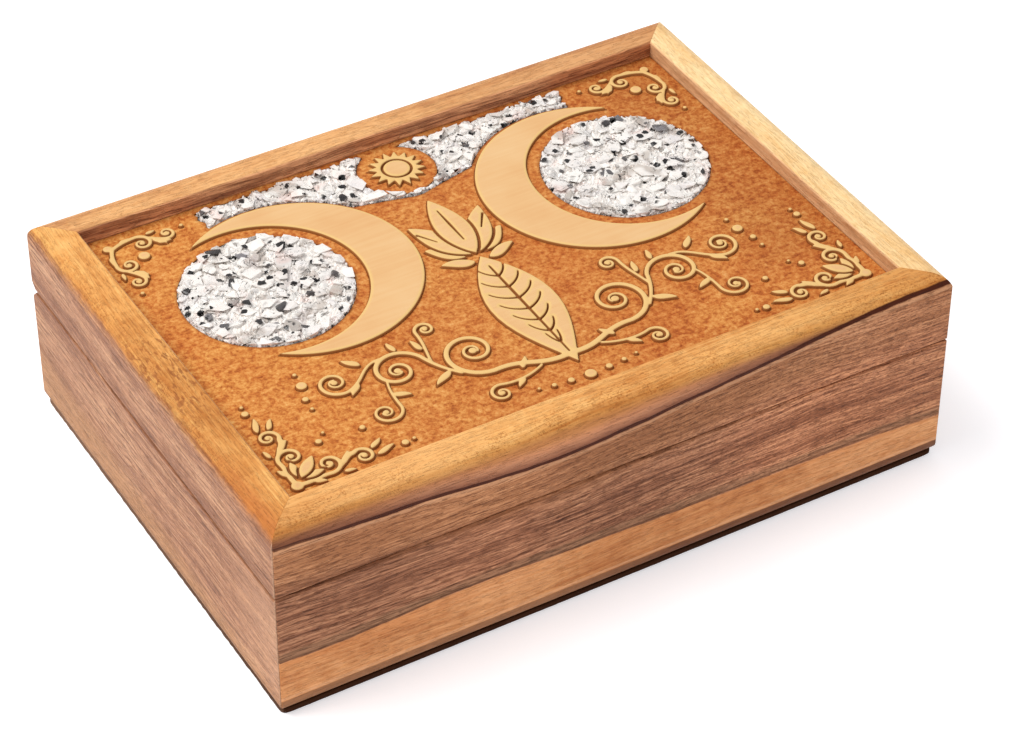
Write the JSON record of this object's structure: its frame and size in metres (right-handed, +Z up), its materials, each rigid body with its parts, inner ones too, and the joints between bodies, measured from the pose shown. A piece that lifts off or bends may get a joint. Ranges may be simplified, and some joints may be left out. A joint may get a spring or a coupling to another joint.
{
  "type": "card deck box",
  "caption": "Hinged wooden deck box with mitred walls and a sunken lid panel carved in low relief and inlaid with crushed stone.",
  "frame": {"origin": "centre of the footprint on the table", "axes": "+X along the long side, +Y towards the hinge side, +Z up; the long side the lid opens from faces -Y"},
  "size_m": [0.178, 0.127, 0.0545],
  "materials": {
    "base_wood": "oiled walnut heartwood with a pale sapwood stripe, satin",
    "rail_wood": "oiled golden sapwood, satin",
    "rail_wood_pale": "oiled pale cream sapwood, satin",
    "panel_wood": "engraved and scorched ground with smooth pale raised figures",
    "plywood": "bare sanded plywood",
    "stone_chips": "crushed white and smoky translucent stone set in clear resin",
    "base_felt": "thin dark felt",
    "velvet": "short-pile velvet over card",
    "brass": "lightly brushed brass"
  },
  "bodies": {
    "base": {"base_front_wall": "base_wood", "base_back_wall": "base_wood", "base_left_wall": "base_wood", "base_right_wall": "base_wood", "bottom_board": "plywood", "base_felt": "base_felt", "floor_lining": "velvet", "hinge_leaf_base_left": "brass", "hinge_leaf_base_right": "brass", "hinge_pin_left": "brass", "hinge_pin_right": "brass", "base_hinge_screws": "brass"},
    "lid": {"lid_front_rail": "rail_wood", "lid_back_rail": "rail_wood", "lid_left_rail": "rail_wood", "lid_right_rail": "rail_wood_pale", "lid_panel": "panel_wood", "left_stone_inlay": "stone_chips", "right_stone_inlay": "stone_chips", "back_stone_inlay": "stone_chips", "lid_lining": "velvet", "hinge_leaf_lid_left": "brass", "hinge_leaf_lid_right": "brass", "lid_hinge_screws": "brass"}
  },
  "joints": [
    {"name": "lid_hinge", "type": "hinge", "parent": "base", "child": "lid", "pos_m": [0, 0.0615, 0.0355], "axis": [-1, 0, 0], "range_deg": [0, 104]}
  ]
}
